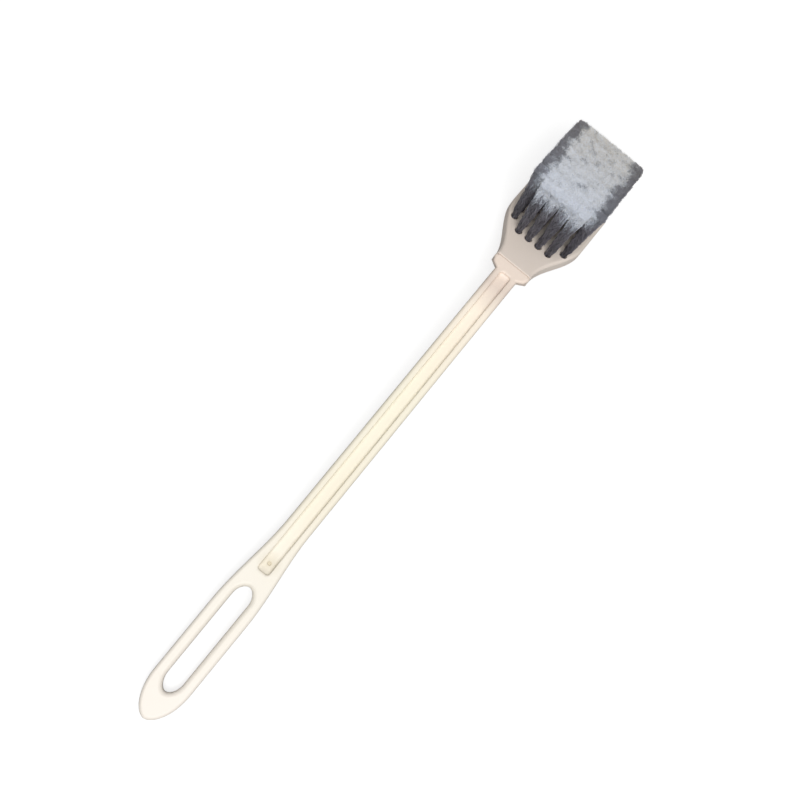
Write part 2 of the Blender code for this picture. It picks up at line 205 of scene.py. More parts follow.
def plate(name, outline):
    """A flat plate of the handle's thickness with this outline and rounded edges all round."""
    bm = bmesh.new()
    face = bm.faces.new([bm.verts.new((p.x, p.y, -HALF_THICKNESS)) for p in outline])
    raised = bmesh.ops.extrude_face_region(bm, geom=[face])["geom"]
    top = [part for part in raised if isinstance(part, bmesh.types.BMVert)]
    bmesh.ops.translate(bm, verts=top, vec=(0, 0, 2 * HALF_THICKNESS))
    rims = [e for e in bm.edges if abs(e.verts[0].co.z - e.verts[1].co.z) < HALF_THICKNESS]
    bmesh.ops.bevel(
        bm, geom=rims, offset=EDGE_RADIUS, segments=EDGE_STEPS, profile=0.5, affect="EDGES"
    )
    return new_object(name, bm)


def combine(thing, tool, operation):
    """Joins the tool to the piece or cuts it out, and removes the tool."""
    modifier = thing.modifiers.new(operation.lower(), "BOOLEAN")
    modifier.operation = operation
    modifier.solver = "EXACT"
    modifier.object = tool
    depsgraph = bpy.context.evaluated_depsgraph_get()
    thing.data = bpy.data.meshes.new_from_object(thing.evaluated_get(depsgraph))
    thing.modifiers.clear()
    bpy.data.objects.remove(tool)


def stem_half_width(along):
    share = min(max((along - stem_start) / (shoulder_start - stem_start), 0.0), 1.0)
    return (STEM_LOOP_WIDTH + (STEM_NECK_WIDTH - STEM_LOOP_WIDTH) * share) / 2


def handle_outline():
    """The handle seen from the front: pointed loop, taper, stem, slanted shoulders and collar."""
    right = []
    for k in range(ARC_STEPS + 1):
        angle = math.pi / 2 * k / ARC_STEPS
        x = LOOP_WIDTH / 2 * math.sin(angle) ** LOOP_TIP_POINT
        right.append(Vector((x, LOOP_TIP_LENGTH * (1 - math.cos(angle)))))
    for k in range(ARC_STEPS + 1):
        share = k / ARC_STEPS
        narrowing = (LOOP_WIDTH - STEM_LOOP_WIDTH) / 2 * smooth_step(share)
        right.append(Vector((LOOP_WIDTH / 2 - narrowing, LOOP_LENGTH + LOOP_TAPER_LENGTH * share)))
    right.append(Vector((stem_half_width(shoulder_start), shoulder_start)))
    right.append(Vector((COLLAR_WIDTH / 2, shoulder_start + SHOULDER_LENGTH)))
    right.append(Vector((JOINT_WIDTH / 2, joint_at - past_joint)))
    right.append(Vector((JOINT_WIDTH / 2, joint_at + past_joint)))
    return both_sides(right)


def slot_arch(radius, length, centre_y, upward):
    """One end of the slot, an ellipse drawn in towards its point. The upper end runs from right to
    left and the lower one back, so that the two make one outline."""
    way = 1 if upward else -1
    arch = []
    for k in range(2 * ARC_STEPS + 1):
        angle = math.pi * k / (2 * ARC_STEPS)
        across = math.copysign(abs(math.cos(angle)) ** SLOT_POINT, math.cos(angle))
        arch.append(Vector((way * radius * across, centre_y + way * length * math.sin(angle))))
    return arch


def lean_shoulders(bm):
    """Leans the shoulders in under the collar: the nearer the back face, the nearer the joint."""
    top = joint_at - past_joint
    side = COLLAR_SIDE_LENGTH - past_joint
    for vertex in bm.verts:
        if vertex.co.y > shoulder_start - EDGE_RADIUS:
            share = min(max((top - vertex.co.y) / side, 0.0), 1.0)
            depth = (HALF_THICKNESS - vertex.co.z) / (2 * HALF_THICKNESS)
            vertex.co.y += share * depth * SHOULDER_LEAN * side


def slot_outline(grow):
    """The hanging slot, which narrows to a soft point at both ends, grown all round."""
    radius = SLOT_WIDTH / 2 + grow
    crown = slot_arch(radius, SLOT_CROWN_LENGTH + grow, slot_end - SLOT_CROWN_LENGTH, True)
    tip = slot_arch(radius, SLOT_TIP_LENGTH + grow, SLOT_TIP_WALL + SLOT_TIP_LENGTH, False)
    return crown + tip


def slot_cutter():
    """It flares at both faces, so that what it leaves has rounded edges, and runs out past them."""
    flare = [(0.0, HALF_THICKNESS - SLOT_EDGE_RADIUS)]
    for k in range(1, EDGE_STEPS + 1):
        angle = math.pi / 2 * (k - FLARE_LAG) / EDGE_STEPS
        grow = SLOT_EDGE_RADIUS * (1 - math.cos(angle))
        flare.append((grow, HALF_THICKNESS - SLOT_EDGE_RADIUS * (1 - math.sin(angle))))
    flare.append((OVERCUT_FLARE * SLOT_EDGE_RADIUS, HALF_THICKNESS + OVERCUT))
    rings = [level(slot_outline(grow), -height) for grow, height in reversed(flare)]
    rings += [level(slot_outline(grow), height) for grow, height in flare]
    return loft("slot", rings)


def groove_outline(shrink):
    """The groove between the stem's two rims, whose ends slope more than its sides."""
    low = slot_end + GROOVE_SLOT_WALL + GROOVE_END_SLOPE * shrink
    high = shoulder_start - GROOVE_END_SLOPE * shrink
    half_low = stem_half_width(low) - GROOVE_RIM - shrink
    half_high = stem_half_width(high) - GROOVE_RIM - shrink
    corners = [(half_low, low), (half_high, high), (-half_high, high), (-half_low, low)]
    return rounded([Vector(corner) for corner in corners], GROOVE_CORNER_RADIUS - shrink)


def groove_cutter(face):
    """face is 1 for the front of the handle and -1 for its back. Its rims come out rounded too."""
    floor = HALF_THICKNESS - GROOVE_DEPTH
    rings = []
    for k in range(EDGE_STEPS + 1):
        angle = math.pi / 2 * k / EDGE_STEPS
        shrink = GROOVE_FLOOR_RADIUS * (1 - math.sin(angle))
        height = floor + GROOVE_FLOOR_RADIUS * (1 - math.cos(angle))
        rings.append(level(groove_outline(shrink), face * height))
    for k in range(1, EDGE_STEPS + 1):
        angle = math.pi / 2 * (k - FLARE_LAG) / EDGE_STEPS
        grow = GROOVE_RIM_RADIUS * (1 - math.cos(angle))
        height = HALF_THICKNESS - GROOVE_RIM_RADIUS * (1 - math.sin(angle))
        rings.append(level(groove_outline(-grow), face * height))
    widest = groove_outline(-OVERCUT_FLARE * GROOVE_RIM_RADIUS)
    rings.append(level(widest, face * (HALF_THICKNESS + OVERCUT)))
    return loft("groove", rings)


def gate_mark():
    """The shallow dimple where the plastic entered the mould, near the groove's lower end."""
    floor = HALF_THICKNESS - GROOVE_DEPTH
    rings = []
    for shrink, rise in GATE_MARK_RINGS:
        radius = GATE_MARK_RADIUS * (1 - shrink)
        circle = []
        for k in range(2 * ARC_STEPS):
            angle = math.pi * k / ARC_STEPS
            circle.append(Vector((radius * math.cos(angle), GATE_MARK_AT + radius * math.sin(angle))))
        rings.append(level(circle, floor + rise * GATE_MARK_DEPTH))
    return loft("gate_mark", rings)


def on_neck(along):
    """Where the handle's centre line is past the straight stem, and how far it has turned down."""
    turned = min(max((along - neck_start) / NECK_RADIUS, 0.0), NECK_TURN)
    y = neck_start + NECK_RADIUS * math.sin(turned)
    z = -NECK_RADIUS * (1 - math.cos(turned))
    past = max(along - neck_start - neck_length, 0.0)
    return Vector((0.0, y + past * math.cos(turned), z - past * math.sin(turned))), turned


def bend_neck(bm):
    """Slices the straight handle across the neck and lays the slices along the neck's arc."""
    for k in range(ARC_STEPS + 1):
        cut = Vector((0.0, neck_start + neck_length * k / ARC_STEPS, 0.0))
        everything = bm.verts[:] + bm.edges[:] + bm.faces[:]
        bmesh.ops.bisect_plane(bm, geom=everything, plane_co=cut, plane_no=(0, 1, 0))
    for vertex in bm.verts:
        if vertex.co.y > neck_start:
            place, turned = on_neck(vertex.co.y)
            out = Vector((0.0, math.sin(turned), math.cos(turned)))
            vertex.co = Vector((vertex.co.x, 0.0, 0.0)) + place + out * vertex.co.z


def trim_at_joint(bm, keep):
    """Cuts the end off along the mitre and breaks the new edge. keep is -1 for the handle's side."""
    place, turned = on_neck(joint_at)
    along = Vector((0.0, math.cos(turned + mitre), -math.sin(turned + mitre)))
    place = place + along * keep * JOINT_GAP / 2
    everything = bm.verts[:] + bm.edges[:] + bm.faces[:]
    bmesh.ops.bisect_plane(
        bm,
        geom=everything,
        plane_co=place,
        plane_no=along,
        clear_outer=keep < 0,
        clear_inner=keep > 0,
    )
    rim = [e for e in bm.edges if e.is_boundary]
    end = bmesh.ops.holes_fill(bm, edges=rim, sides=0)["faces"]
    bmesh.ops.recalc_face_normals(bm, faces=bm.faces[:])
    rim = list({e for face in end for e in face.edges})
    bmesh.ops.bevel(
        bm,
        geom=rim,
        offset=JOINT_CHAMFER,
        segments=CHAMFER_STEPS,
        profile=0.5,
        affect="EDGES",
    )


def reshape(thing, *steps):
    """Takes the piece's mesh through steps that each change it."""
    bm = bmesh.new()
    bm.from_mesh(thing.data)
    for step in steps:
        step(bm)
    bm.to_mesh(thing.data)
    bm.free()


def to_head():
    """From the head's frame to the handle's. The joint is its origin, and +Y runs to its far end."""
    return Matrix.Translation(on_neck(joint_at)[0]) @ Matrix.Rotation(-NECK_TURN - HEAD_TURN, 4, "X")


def tang_shape(grow, start, end):
    """The flat tongue that holds the head, or with a clearance the socket for it."""
    half = TANG_WIDTH / 2 + grow
    corners = [(-half, start), (half, start), (half, end), (-half, end)]
    outline = rounded([Vector(corner) for corner in corners], TANG_CORNER_RADIUS)
    height = TANG_THICKNESS / 2 + grow
    tang = loft("tang", [level(outline, -height), level(outline, height)])
    tang.data.transform(to_head())
    return tang


def finished(thing, material, slot, *nodes):
    """Sets a moulding down in its place, shades it as moulded plastic and lets it stand for its
    solids."""
    thing.data.transform(to_handle)
    thing.data.shade_smooth()
    thing.data.set_sharp_from_angle(angle=SHARP_ANGLE)
    thing.data.materials.clear()
    thing.data.materials.append(material)
    even = thing.modifiers.new("even_shading", "WEIGHTED_NORMAL")
    even.keep_sharp = True
    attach(thing, "root")
    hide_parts(*nodes)


def to_linear(hex_colour):
    """A colour written in sRGB hex, as the linear values that the shader takes."""
    parts = [int(hex_colour[i : i + 2], 16) / 255 for i in (0, 2, 4)]
    linear = [c / 12.92 if c <= 0.04045 else ((c + 0.055) / 1.055) ** 2.4 for c in parts]
    return (*linear, 1.0)


def add_node(tree, kind, inputs=(), **settings):
    """Adds a node with its settings. Its inputs, by number or by name, take values or links."""
    node = tree.nodes.new(kind)
    for name, value in settings.items():
        setattr(node, name, value)
    pairs = inputs.items() if isinstance(inputs, dict) else enumerate(inputs)
    for key, value in pairs:
        if isinstance(value, bpy.types.NodeSocket):
            tree.links.new(value, node.inputs[key])
        else:
            node.inputs[key].default_value = value
    return node


def fill_ramp(ramp, stops):
    """Sets a colour ramp's stops, each a place from 0 to 1 and a colour."""
    for _ in stops[2:]:
        ramp.elements.new(1.0)
    for element, (place, colour) in zip(ramp.elements, stops):
        element.position = place
        element.color = to_linear(colour)


def moulded_polypropylene(name, hues, gate, roughness):
    """Satin polypropylene. Its hue changes along its length, partly as its own tone and partly as
    painted shade where the piece is shaded, and it has a dull blush around the gate, where the melt
    came in. Slow changes of shade come from how the melt flowed, and the mould's skin leaves a ripple
    that breaks the highlights up, drawn as coarse as it needs to show."""
    material = bpy.data.materials.new(name)
    material.use_nodes = True
    tree = material.node_tree
    shader = tree.nodes["Principled BSDF"]
    shader.inputs["Roughness"].default_value = roughness
    shader.inputs["IOR"].default_value = POLYPROPYLENE_IOR
    place = add_node(tree, "ShaderNodeTexCoord").outputs["Object"]
    along = add_node(tree, "ShaderNodeSeparateXYZ", [place]).outputs[1]
    first, last = hues[0][0] * MM, hues[-1][0] * MM
    share = add_node(
        tree, "ShaderNodeMapRange", {"Value": along, "From Min": first, "From Max": last}
    )
    # The hues along the piece, partly painted shade where it darkens at the neck, collar and head
    hue = add_node(tree, "ShaderNodeValToRGB", [share.outputs[0]])
    stops = [((at * MM - first) / (last - first), colour) for at, colour in hues]
    fill_ramp(hue.color_ramp, stops)
    flow = add_node(
        tree, "ShaderNodeTexNoise", {"Vector": place, "Scale": 1 / FLOW_WIDTH, "Detail": 3.0}
    )
    tint = add_node(
        tree,
        "ShaderNodeMix",
        {0: flow.outputs[0], 6: hue.outputs[0], 7: to_linear(FLOW_SHADE)},
        data_type="RGBA",
        blend_type="MULTIPLY",
    )
    from_gate = add_node(tree, "ShaderNodeVectorMath", [place, gate], operation="DISTANCE")
    ring = add_node(
        tree, "ShaderNodeMapRange", {"Value": from_gate.outputs[1], "From Max": GATE_BLUSH_WIDTH}
    )
    blush = add_node(tree, "ShaderNodeValToRGB", [ring.outputs[0]])
    fill_ramp(blush.color_ramp, GATE_SHADES)
    blushed = add_node(
        tree,
        "ShaderNodeMix",
        {0: 1.0, 6: tint.outputs[2], 7: blush.outputs[0]},
        data_type="RGBA",
        blend_type="MULTIPLY",
    )
    tree.links.new(blushed.outputs[2], shader.inputs["Base Color"])
    ripple = add_node(
        tree, "ShaderNodeTexNoise", {"Vector": place, "Scale": 1 / RIPPLE_WIDTH, "Detail": 2.0}
    )
    bump = add_node(
        tree,
        "ShaderNodeBump",
        {"Height": ripple.outputs[0], "Strength": RIPPLE_STRENGTH, "Distance": RIPPLE_HEIGHT},
    )
    tree.links.new(bump.outputs[0], shader.inputs["Normal"])
    return material


handle = plate("moulded_handle", handle_outline())
reshape(handle, lean_shoulders)
combine(handle, slot_cutter(), "DIFFERENCE")
for face in (1, -1):
    combine(handle, groove_cutter(face), "DIFFERENCE")
combine(handle, gate_mark(), "DIFFERENCE")
reshape(handle, bend_neck, lambda bm: trim_at_joint(bm, -1))
combine(handle, tang_shape(0.0, -TANG_ROOT, TANG_LENGTH), "UNION")
groove_gate = to_handle @ Vector((0, GATE_MARK_AT, HALF_THICKNESS - GROOVE_DEPTH))
cream = moulded_polypropylene(
    "cream_polypropylene_moulded", HANDLE_HUES_AND_NECK_SHADE, groove_gate, HANDLE_ROUGHNESS
)
finished(handle, cream, "handle_plastic", "handle")


# The head: a second moulding in cream polypropylene, a flat spade-shaped plate with rounded edges
# that is pressed on to the handle's tang. Every tuft has a round blind hole of its own in it.
TUFT_ROWS = 8
TUFT_COLUMNS = 6
TUFT_PITCH = 7.05 * MM
TUFT_DIAMETER = 4.2 * MM
TUFT_CLEARANCE = 0.35 * MM
HOLE_DEPTH = 6.5 * MM
SIDE_MARGIN = 4.55 * MM
END_MARGIN = 3.4 * MM
LEAST_MARGIN = 1.5 * MM
FLARE_LENGTH = 40.8 * MM
HEAD_CORNER_RADIUS = 7.0 * MM
SOCKET_WALL = 3.7 * MM
TANG_CLEARANCE = 0.3 * MM
HEAD_ROUGHNESS = 0.45
# The head's greyer hue is partly its own tone and partly painted shade, for a plate that leans away
# from the light beside the bristles
HEAD_HUES_AND_SHADE = ((114.0, "ECE0D6"), (180.0, "ECE2D8"))

hole_radius = TUFT_DIAMETER / 2 + TUFT_CLEARANCE
socket_depth = TANG_LENGTH + TANG_CLEARANCE
first_row = socket_depth + SOCKET_WALL + hole_radius
head_width = (TUFT_COLUMNS - 1) * TUFT_PITCH + 2 * (hole_radius + SIDE_MARGIN)
head_length = first_row + (TUFT_ROWS - 1) * TUFT_PITCH + hole_radius + END_MARGIN


def head_half_width(along):
    """The spade shape: it widens from the neck in an S and then runs straight to the far end."""
    share = (along - past_joint) / (FLARE_LENGTH - past_joint)
    return (JOINT_WIDTH + (head_width - JOINT_WIDTH) * smooth_step(share)) / 2


def head_outline():
    right = [Vector((JOINT_WIDTH / 2, -past_joint))]
    for k in range(ARC_STEPS + 1):
        along = past_joint + (FLARE_LENGTH - past_joint) * k / ARC_STEPS
        right.append(Vector((head_half_width(along), along)))
    centre = Vector((head_width / 2 - HEAD_CORNER_RADIUS, head_length - HEAD_CORNER_RADIUS))
    for k in range(ARC_STEPS + 1):
        angle = math.pi / 2 * k / ARC_STEPS
        right.append(centre + Vector((math.cos(angle), math.sin(angle))) * HEAD_CORNER_RADIUS)
    return both_sides(right)


def tuft_places():
    """Row and column of each tuft and where it stands on the head. The narrow first row has fewer."""
    places = []
    for row in range(TUFT_ROWS):
        along = first_row + row * TUFT_PITCH
        room = head_half_width(along) - hole_radius - LEAST_MARGIN
        for column in range(TUFT_COLUMNS):
            across = (column - (TUFT_COLUMNS - 1) / 2) * TUFT_PITCH
            if abs(across) <= room:
                places.append((row + 1, column + 1, Vector((across, along))))
    return places


def hole_cutters():
    """One round blind hole for each tuft, all in one cutter."""
    bm = bmesh.new()
    past = EDGE_RADIUS
    for _, _, place in tuft_places():
        middle = HALF_THICKNESS - HOLE_DEPTH / 2 + past / 2
        bmesh.ops.create_cone(
            bm,
            cap_ends=True,
            segments=ARC_STEPS,
            radius1=hole_radius,
            radius2=hole_radius,
            depth=HOLE_DEPTH + past,
            matrix=Matrix.Translation((place.x, place.y, middle)),
        )
    holes = new_object("tuft_holes", bm)
    holes.data.transform(to_head())
    return holes


head = plate("moulded_head", head_outline())
head.data.transform(to_head())
reshape(head, lambda bm: trim_at_joint(bm, 1))
combine(head, tang_shape(TANG_CLEARANCE, -TANG_ROOT, socket_depth), "DIFFERENCE")
combine(head, hole_cutters(), "DIFFERENCE")
back_gate = to_handle @ to_head() @ Vector((0, head_length / 2, -HALF_THICKNESS))
# Its greyer colour is partly painted shade
greyer_cream_and_shade = moulded_polypropylene(
    "greyer_cream_polypropylene_moulded", HEAD_HUES_AND_SHADE, back_gate, HEAD_ROUGHNESS
)
finished(head, greyer_cream_and_shade, "head_plastic", "head")


# The bristles: tufts of dark polypropylene filament, folded double and anchored in the head. They
# spread as they leave their holes and are trimmed to one flat face. The end of each filament is split
# into fine pale flags, and along both sides of the brush use has worn the pale away.
BRISTLE_LENGTH = 44.5 * MM
ROOT_DEPTH = 0.5 * MM
SPREAD_ACROSS = 1.1
FAR_SPREAD_ACROSS = 1.07
SPREAD_ALONG = 1.05
CORNER_LEAN = 1.8 * MM
CORNER_ROUNDING = -0.28
FIRST_FULL_ROW = 2
FILAMENTS = 110
FILAMENT_RADIUS = 0.18 * MM
FILAMENT_POINTS = 7
FILAMENT_SPREAD_CURVE = 0.66
STRAY_RANGE = ((-0.35 * MM, -0.35 * MM, -0.4 * MM), (0.35 * MM, 0.35 * MM, 0.2 * MM))
# Steps along both sides of a square that fill it evenly, however many of them are taken
EVEN_STEPS = (0.7548777, 0.5698403, 0.0)
FLAGS = 14
FLAG_RADIUS = 0.16 * MM
FLAG_POINTS = 3
FLAG_LENGTH = 9.0 * MM
FLAG_LENGTH_SHARES = (0.4, 1.7)
FLAG_SPLAY = 1.15 * MM
FLAG_SPLAY_CURVE = 1.4
FLAG_SPLAY_RANGE = ((-1.0, -1.0, -0.3), (1.0, 1.0, 0.15))
SPLIT_OVERLAP = 0.06
STRAND_SIDES = 3
TAPER_START = 0.5
TAPERED_WIDTH = 0.9
PALE_LENGTH = 13.0 * MM
CLUMP_SIZE = 1.6 * MM
CLUMP_TO_LENGTH = {"From Min": 0.3, "From Max": 0.7, "To Min": 0.3, "To Max": 1.9}
CLUMP_TO_SHADE = {"From Min": 0.35, "From Max": 0.65, "To Min": 0.0, "To Max": 0.55}
CLUMP_WEAR = -1.2
WORN_WIDTH = 8.5 * MM
WORN_PATCH = 6.0 * MM
PATCH_WEAR = 1.6
INNER_WEAR = -0.5
OUTER_WEAR = 0.6
FRONT_WEAR = -0.9
FRONT_WIDTHS = 1.15
WEAR_TO_STRENGTH = {"From Min": -0.3, "From Max": 0.15, "To Min": 0.4, "To Max": 0.03}
SHAFT_SHARE = 0.6
TONES = 8
# Just under half of the tones, so that two spans added up stay below their number
TONE_SPAN = TONES / 2 - 0.01
COLOUR_MAP = "OFBake"
FILAMENT_ROUGHNESS = 0.5
FILAMENT_IOR = 1.5
FILAMENT_SHADES = (
    (0.0, "323037"),
    (0.5, "7A7882"),
    (0.61, "84848F"),
    (0.7, "B4BCCA"),
    (0.86, "EEF4FF"),
)
# Tones from white to warm grey: some fall by chance, and the darker ones at the far end are painted
# shade
STRAND_TONES_AND_FAR_SHADE = ((0.0, "FFFFFF"), (0.6, "F8F4EC"), (1.0, "EEE2CE"))


def add_sockets(tree, side, kinds):
    """Gives the tree's input or output side its sockets, by name and kind."""
    for name, kind in kinds.items():
        tree.interface.new_socket(name, in_out=side, socket_type="NodeSocket" + kind)


def filament_path():
    """A group that says where a filament is at a share of its length. The filaments fill the round
    hole at the root and a square cell of the trimmed face at the tip, spread by a fixed sequence."""
    tree = bpy.data.node_groups.new("filament_path", "GeometryNodeTree")
    inputs = {
        "Filament": "Int",
        "Along": "Float",
        "Root": "Vector",
        "Root Radius": "Float",
        "Tip": "Vector",
        "Tip Half Size": "Vector",
        "Round Corner": "Vector",
        "Seed": "Int",
    }
    add_sockets(tree, "INPUT", inputs)
    add_sockets(tree, "OUTPUT", {"Position": "Vector", "End": "Vector"})
    given = add_node(tree, "NodeGroupInput").outputs

    # A place in the square from -1 to 1
    number = add_node(tree, "ShaderNodeCombineXYZ", [given["Filament"], given["Filament"], 0.0])
    start = add_node(
        tree, "FunctionNodeRandomValue", {"Seed": given["Seed"], "ID": 0}, data_type="FLOAT_VECTOR"
    )
    steps = add_node(
        tree,
        "ShaderNodeVectorMath",
        [number.outputs[0], EVEN_STEPS, start.outputs[0]],
        operation="MULTIPLY_ADD",
    )
    share = add_node(tree, "ShaderNodeVectorMath", [steps.outputs[0]], operation="FRACTION")
    square = add_node(
        tree,
        "ShaderNodeVectorMath",
        [share.outputs[0], (2.0, 2.0, 0.0), (-1.0, -1.0, 0.0)],
        operation="MULTIPLY_ADD",
    )

    # The square drawn on to the round root, so that no two filaments cross
    size = add_node(tree, "ShaderNodeVectorMath", [square.outputs[0]], operation="ABSOLUTE")
    sides = add_node(tree, "ShaderNodeSeparateXYZ", [size.outputs[0]]).outputs
    ring = add_node(tree, "ShaderNodeMath", [sides[0], sides[1]], operation="MAXIMUM")
    reach = add_node(
        tree, "ShaderNodeMath", [ring.outputs[0], given["Root Radius"]], operation="MULTIPLY"
    )
    outwards = add_node(tree, "ShaderNodeVectorMath", [square.outputs[0]], operation="NORMALIZE")
    on_disc = add_node(
        tree,
        "ShaderNodeVectorMath",
        {0: outwards.outputs[0], "Scale": reach.outputs[0]},
        operation="SCALE",
    )
    root = add_node(
        tree, "ShaderNodeVectorMath", [on_disc.outputs[0], given["Root"]], operation="ADD"
    )

    # The cell at the tip, with the block's own corner drawn in
    towards = add_node(
        tree,
        "ShaderNodeVectorMath",
        [square.outputs[0], given["Round Corner"]],
        operation="MULTIPLY",
    )
    ahead = add_node(
        tree, "ShaderNodeVectorMath", [towards.outputs[0], (0.0, 0.0, 0.0)], operation="MAXIMUM"
    )
    nearness = add_node(tree, "ShaderNodeSeparateXYZ", [ahead.outputs[0]]).outputs
    cornered = add_node(tree, "ShaderNodeMath", [nearness[0], nearness[1]], operation="MULTIPLY")
    drawn_in = add_node(
        tree,
        "ShaderNodeMath",
        [cornered.outputs[0], CORNER_ROUNDING, 1.0],
        operation="MULTIPLY_ADD",
    )
    cell = add_node(
        tree,
        "ShaderNodeVectorMath",
        {0: square.outputs[0], "Scale": drawn_in.outputs[0]},
        operation="SCALE",
    )
    tip = add_node(
        tree,
        "ShaderNodeVectorMath",
        [cell.outputs[0], given["Tip Half Size"], given["Tip"]],
        operation="MULTIPLY_ADD",
    )
    stray = add_node(
        tree,
        "FunctionNodeRandomValue",
        {0: STRAY_RANGE[0], 1: STRAY_RANGE[1], "ID": given["Filament"], "Seed": given["Seed"]},
        data_type="FLOAT_VECTOR",
    )
    end = add_node(
        tree, "ShaderNodeVectorMath", [tip.outputs[0], stray.outputs[0]], operation="ADD"
    )

    # Most of the spread comes early, so that a tuft is soon full
    early = add_node(
        tree, "ShaderNodeMath", [given["Along"], FILAMENT_SPREAD_CURVE], operation="POWER"
    )
    shares = add_node(
        tree, "ShaderNodeCombineXYZ", [early.outputs[0], early.outputs[0], given["Along"]]
    )
    place = add_node(
        tree,
        "ShaderNodeMix",
        {1: shares.outputs[0], 4: root.outputs[0], 5: end.outputs[0]},
        data_type="VECTOR",
        factor_mode="NON_UNIFORM",
    )
    add_node(tree, "NodeGroupOutput", [place.outputs[1], end.outputs[0]])
    return tree


def pale_end(tree, given, end):
    """How long and how pale the end of a filament is, and where the shades of its shaft start. Clumps
    of neighbours are alike, which makes streaks. Along both sides of the brush, but not at its front
    edge, the pale ends are worn off in patches."""
    clumps = add_node(
        tree, "ShaderNodeTexNoise", {"Vector": end, "Scale": 1 / CLUMP_SIZE, "Detail": 1.0}
    ).outputs[0]
    own = add_node(tree, "ShaderNodeMapRange", {"Value": clumps, **CLUMP_TO_LENGTH})
    length = add_node(
        tree, "ShaderNodeMath", [own.outputs[0], given["Pale Share"]], operation="MULTIPLY"
    )
    shade = add_node(tree, "ShaderNodeMapRange", {"Value": clumps, **CLUMP_TO_SHADE})

    # Wear: what the side edges, the patches and the clumps add up to, less what the front edge keeps
    sides = add_node(tree, "ShaderNodeSeparateXYZ", [end]).outputs
    from_middle = add_node(tree, "ShaderNodeMath", [sides[0]], operation="ABSOLUTE")
    worn_from = add_node(
        tree,
        "ShaderNodeMath",
        [given["Block Half Width"], given["Worn Width"]],
        operation="SUBTRACT",
    )
    edge = add_node(
        tree,
        "ShaderNodeMapRange",
        {
            "Value": from_middle.outputs[0],
            "From Min": worn_from.outputs[0],
            "From Max": given["Block Half Width"],
            "To Min": INNER_WEAR,
            "To Max": OUTER_WEAR,
        },
    )
    kept_to = add_node(
        tree,
        "ShaderNodeMath",
        [given["Worn Width"], FRONT_WIDTHS, given["Block Front"]],
        operation="MULTIPLY_ADD",
    )
    front = add_node(
        tree,
        "ShaderNodeMapRange",
        {
            "Value": sides[1],
            "From Min": given["Block Front"],
            "From Max": kept_to.outputs[0],
            "To Min": FRONT_WEAR,
            "To Max": 0.0,
        },
    )
    patches = add_node(
        tree, "ShaderNodeTexNoise", {"Vector": end, "Scale": 1 / WORN_PATCH, "Detail": 2.0}
    )
    patchy = add_node(
        tree,
        "ShaderNodeMath",
        [patches.outputs[0], PATCH_WEAR, edge.outputs[0]],
        operation="MULTIPLY_ADD",
    )
    streaked = add_node(
        tree, "ShaderNodeMath", [clumps, CLUMP_WEAR, patchy.outputs[0]], operation="MULTIPLY_ADD"
    )
    wear = add_node(
        tree, "ShaderNodeMath", [streaked.outputs[0], front.outputs[0]], operation="ADD"
    )
    strength = add_node(tree, "ShaderNodeMapRange", {"Value": wear.outputs[0], **WEAR_TO_STRENGTH})
    return length.outputs[0], strength.outputs[0], shade.outputs[0]


def unplaced_lines(tree, count, points, start, end):
    """A number of straight lines that are still to be sent to their places, and for each point how
    far along its line it is, from 0 to 1 and from the start to the end that are given."""
    line = add_node(tree, "GeometryNodeCurvePrimitiveLine")
    fine = add_node(tree, "GeometryNodeResampleCurve", {"Curve": line.outputs[0], "Count": points})
    seats = add_node(tree, "GeometryNodePoints", {"Count": count})
    copies = add_node(
        tree,
        "GeometryNodeInstanceOnPoints",
        {"Points": seats.outputs[0], "Instance": fine.outputs[0]},
    )
    real = add_node(tree, "GeometryNodeRealizeInstances", [copies.outputs[0]])
    factor = add_node(tree, "GeometryNodeSplineParameter").outputs["Factor"]
    along = add_node(
        tree, "ShaderNodeMapRange", {"Value": factor, "To Min": start, "To Max": end}
    )
    return real.outputs[0], factor, along.outputs[0]


